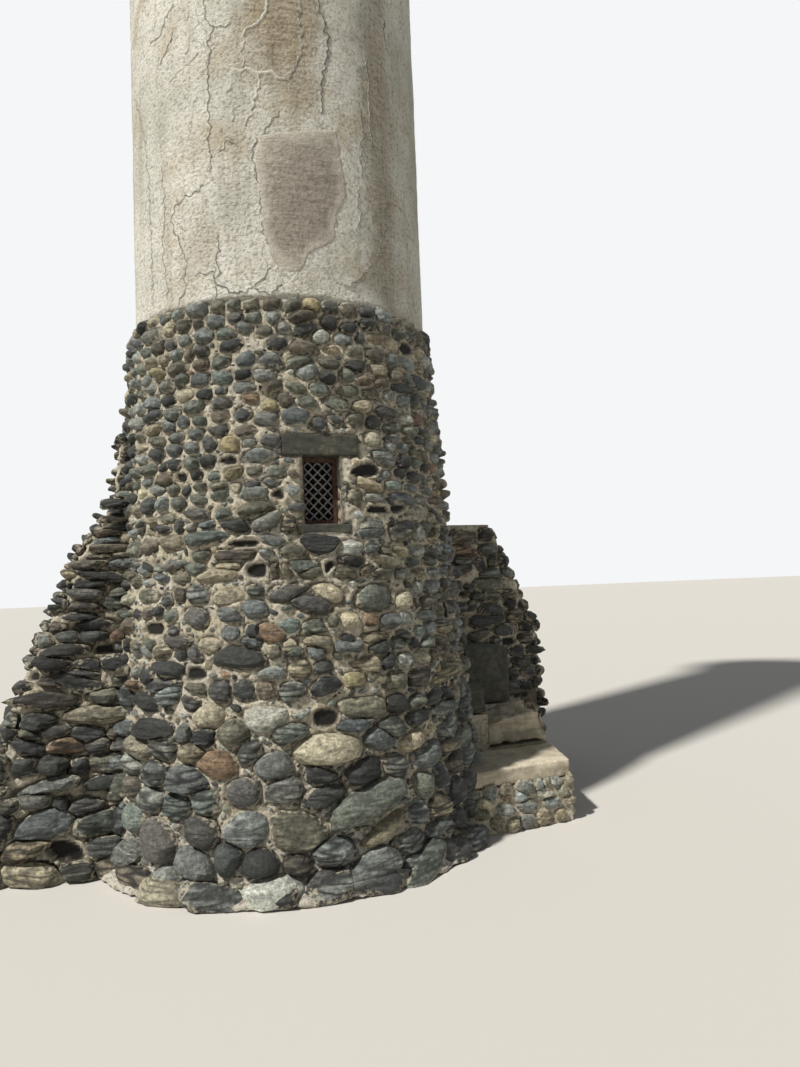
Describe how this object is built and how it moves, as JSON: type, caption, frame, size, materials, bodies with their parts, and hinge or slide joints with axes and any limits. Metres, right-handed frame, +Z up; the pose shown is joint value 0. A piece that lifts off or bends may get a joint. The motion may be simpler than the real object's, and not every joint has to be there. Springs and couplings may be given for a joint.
{
  "type": "round stone stair tower",
  "caption": "Slender round tower: battered cobble drum, plastered shaft, conical roof, raking buttress, wing wall and steps to an open doorway.",
  "frame": {"origin": "the tower's axis at the level on which it stands", "axes": "+Z up along the tower's axis, -Y towards the small window, -X towards the buttress"},
  "size_m": [3.9345, 2.4879, 11.8744],
  "materials": {
    "cobble": "rough",
    "rubble": "rough",
    "dressed_stone": "split",
    "pale_stone": "worn",
    "mortar": "rough",
    "plaster": "weathered",
    "rusty_iron": "rusty",
    "lattice_iron": "weathered",
    "timber": "weathered",
    "shingle": "weathered",
    "lead": "dull"
  },
  "bodies": {
    "root": {"foot_apron": "mortar", "base_wall_front": "cobble", "base_wall_right": "cobble", "base_wall_back": "cobble", "base_wall_left": "cobble", "base_fill": "rubble", "ground_floor": "dressed_stone", "wall_window_bay": "cobble", "wall_right": "cobble", "wall_back_right": "cobble", "wall_back": "cobble", "wall_left": "cobble", "wall_front_left": "cobble", "drum_head_front": "cobble", "drum_head_right": "cobble", "drum_head_back": "cobble", "drum_head_left": "cobble", "door_lintel": "dressed_stone", "door_threshold": "dressed_stone", "window_lintel": "dressed_stone", "window_sill": "dressed_stone", "shaft_sills": "plaster", "window_frames": "rusty_iron", "window_lattices": "lattice_iron", "shaft_lower_front": "plaster", "shaft_lower_right": "plaster", "shaft_lower_back": "plaster", "shaft_lower_left": "plaster", "shaft_upper_front": "plaster", "shaft_upper_right": "plaster", "shaft_upper_back": "plaster", "shaft_upper_left": "plaster", "seaward_buttress": "rubble", "cliffside_wall": "rubble", "steps_rubble": "rubble", "step_slab": "pale_stone", "step_block": "pale_stone", "step_upper": "dressed_stone", "cheek_block": "dressed_stone", "wall_plate": "timber", "rafters": "timber", "roof_cone": "shingle", "finial": "lead"}
  },
  "joints": []
}
